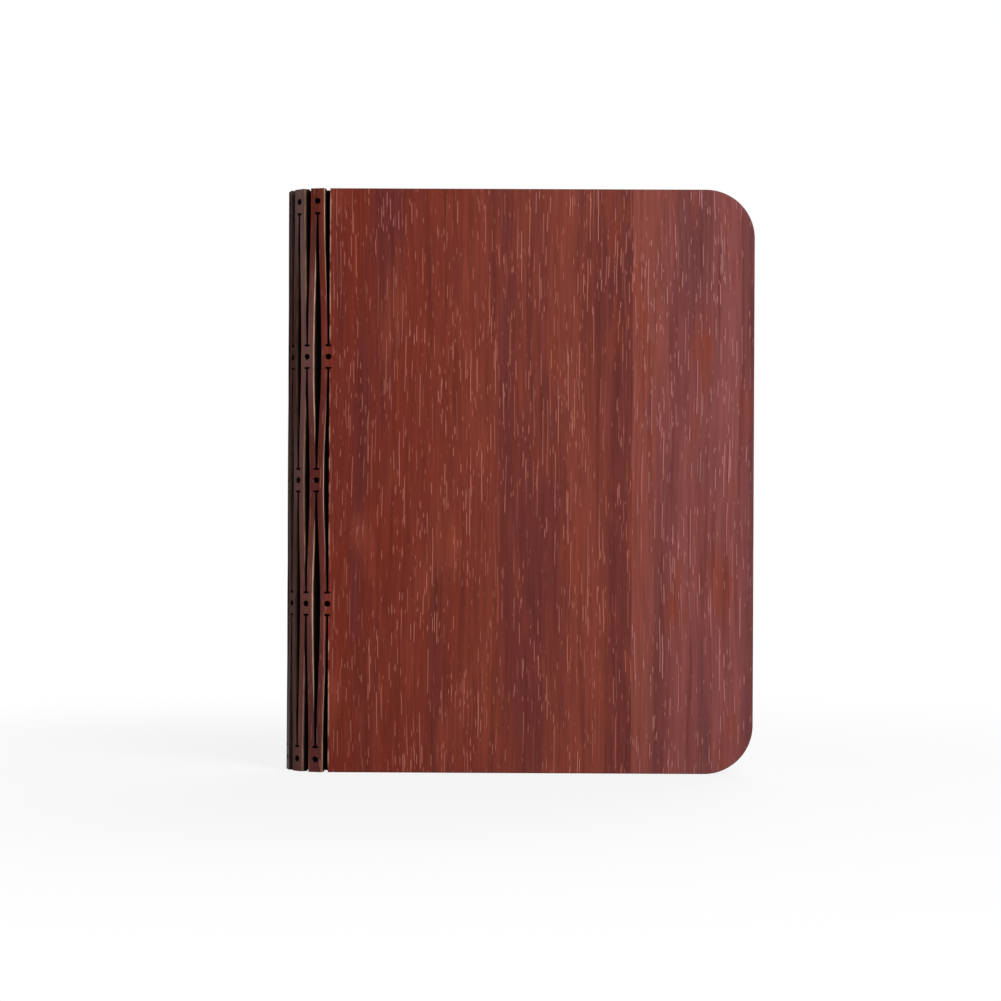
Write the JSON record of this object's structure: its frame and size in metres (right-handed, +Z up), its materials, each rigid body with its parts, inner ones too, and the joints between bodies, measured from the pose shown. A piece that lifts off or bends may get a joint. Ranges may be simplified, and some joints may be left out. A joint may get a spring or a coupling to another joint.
{
  "type": "folding book lamp",
  "caption": "Closed book-shaped folding lamp: veneered boards on a bending slit spine, hollow paper leaves and a lit core; folds open right round.",
  "frame": {"origin": "centre of the closed lamp's footprint, on the surface that its tail edge stands on", "axes": "+Z up along the covers' height, the front cover faces -Y, the spine is at -X and the fore-edge at +X"},
  "size_m": [0.1724, 0.031, 0.215],
  "materials": {
    "veneer": "satin",
    "lining_cloth": "matte",
    "leaf_sheet": "matte",
    "core_shell": "matte",
    "diffuser": "satin",
    "magnet": "satin",
    "screw": "satin",
    "light_carrier": "satin",
    "light_board": "satin",
    "light_chip": "satin",
    "lead_red": "satin",
    "lead_black": "satin",
    "cell": "satin",
    "foam": "matte",
    "circuit_board": "satin",
    "component": "matte",
    "socket_shell": "satin",
    "light_pipe": "gloss"
  },
  "bodies": {
    "core": {"spine_link_06": "veneer", "spine_lining_06": "lining_cloth", "leaf_06": "leaf_sheet", "core_tray": "core_shell", "diffuser": "diffuser", "top_end_cap": "core_shell", "bottom_end_cap": "core_shell", "core_screws": "screw", "led_carrier": "light_carrier", "led_board": "light_board", "led_chips": "light_chip", "led_leads": "lead_red", "battery_cell": "cell", "battery_pads": "foam", "battery_leads": "lead_black", "control_board": "circuit_board", "board_components": "component", "usb_socket": "socket_shell", "hall_sensor": "component", "light_pipe": "light_pipe"},
    "link_05": {"spine_link_05": "veneer", "spine_lining_05": "lining_cloth", "leaf_05": "leaf_sheet"},
    "link_04": {"spine_link_04": "veneer", "spine_lining_04": "lining_cloth", "leaf_04": "leaf_sheet"},
    "link_03": {"spine_link_03": "veneer", "spine_lining_03": "lining_cloth", "leaf_03": "leaf_sheet"},
    "link_02": {"spine_link_02": "veneer", "spine_lining_02": "lining_cloth", "leaf_02": "leaf_sheet"},
    "link_01": {"spine_link_01": "veneer", "spine_lining_01": "lining_cloth", "leaf_01": "leaf_sheet"},
    "link_07": {"spine_link_07": "veneer", "spine_lining_07": "lining_cloth", "leaf_07": "leaf_sheet"},
    "link_08": {"spine_link_08": "veneer", "spine_lining_08": "lining_cloth", "leaf_08": "leaf_sheet"},
    "link_09": {"spine_link_09": "veneer", "spine_lining_09": "lining_cloth", "leaf_09": "leaf_sheet"},
    "link_10": {"spine_link_10": "veneer", "spine_lining_10": "lining_cloth", "leaf_10": "leaf_sheet"},
    "link_11": {"spine_link_11": "veneer", "spine_lining_11": "lining_cloth", "leaf_11": "leaf_sheet"},
    "front_cover": {"front_cover": "veneer", "front_cover_lining": "lining_cloth", "front_endpaper": "leaf_sheet", "front_magnets": "magnet", "switch_magnet": "magnet"},
    "back_cover": {"back_cover": "veneer", "back_cover_lining": "lining_cloth", "back_endpaper": "leaf_sheet", "back_magnets": "magnet"}
  },
  "joints": [
    {"name": "front_fold", "type": "hinge", "parent": "core", "child": "link_05", "pos_m": [-0.08475, -0.00184, 0], "axis": [0, 0, -1], "range_deg": [0, 30.68]},
    {"name": "front_strip_05", "type": "hinge", "parent": "link_05", "child": "link_04", "pos_m": [-0.0838, -0.0054, 0], "axis": [0, 0, -1], "range_deg": [0, 30.68]},
    {"name": "front_strip_04", "type": "hinge", "parent": "link_04", "child": "link_03", "pos_m": [-0.08195, -0.0086, 0], "axis": [0, 0, -1], "range_deg": [0, 30.68]},
    {"name": "front_strip_03", "type": "hinge", "parent": "link_03", "child": "link_02", "pos_m": [-0.07935, -0.0112, 0], "axis": [0, 0, -1], "range_deg": [0, 30.68]},
    {"name": "front_strip_02", "type": "hinge", "parent": "link_02", "child": "link_01", "pos_m": [-0.07615, -0.01305, 0], "axis": [0, 0, -1], "range_deg": [0, 30.68]},
    {"name": "front_strip_01", "type": "hinge", "parent": "link_01", "child": "front_cover", "pos_m": [-0.07259, -0.014, 0], "axis": [0, 0, -1], "range_deg": [0, 30.68]},
    {"name": "back_fold", "type": "hinge", "parent": "core", "child": "link_07", "pos_m": [-0.08475, 0.00184, 0], "axis": [0, 0, 1], "range_deg": [0, 30.68]},
    {"name": "back_strip_08", "type": "hinge", "parent": "link_07", "child": "link_08", "pos_m": [-0.0838, 0.0054, 0], "axis": [0, 0, 1], "range_deg": [0, 30.68]},
    {"name": "back_strip_09", "type": "hinge", "parent": "link_08", "child": "link_09", "pos_m": [-0.08195, 0.0086, 0], "axis": [0, 0, 1], "range_deg": [0, 30.68]},
    {"name": "back_strip_10", "type": "hinge", "parent": "link_09", "child": "link_10", "pos_m": [-0.07935, 0.0112, 0], "axis": [0, 0, 1], "range_deg": [0, 30.68]},
    {"name": "back_strip_11", "type": "hinge", "parent": "link_10", "child": "link_11", "pos_m": [-0.07615, 0.01305, 0], "axis": [0, 0, 1], "range_deg": [0, 30.68]},
    {"name": "back_strip_12", "type": "hinge", "parent": "link_11", "child": "back_cover", "pos_m": [-0.07259, 0.014, 0], "axis": [0, 0, 1], "range_deg": [0, 30.68]}
  ],
  "couplings": [
    {"joint": "front_strip_05", "follows": "front_fold", "ratio": 1},
    {"joint": "front_strip_04", "follows": "front_fold", "ratio": 1},
    {"joint": "front_strip_03", "follows": "front_fold", "ratio": 1},
    {"joint": "front_strip_02", "follows": "front_fold", "ratio": 1},
    {"joint": "front_strip_01", "follows": "front_fold", "ratio": 1},
    {"joint": "back_strip_08", "follows": "back_fold", "ratio": 1},
    {"joint": "back_strip_09", "follows": "back_fold", "ratio": 1},
    {"joint": "back_strip_10", "follows": "back_fold", "ratio": 1},
    {"joint": "back_strip_11", "follows": "back_fold", "ratio": 1},
    {"joint": "back_strip_12", "follows": "back_fold", "ratio": 1}
  ]
}
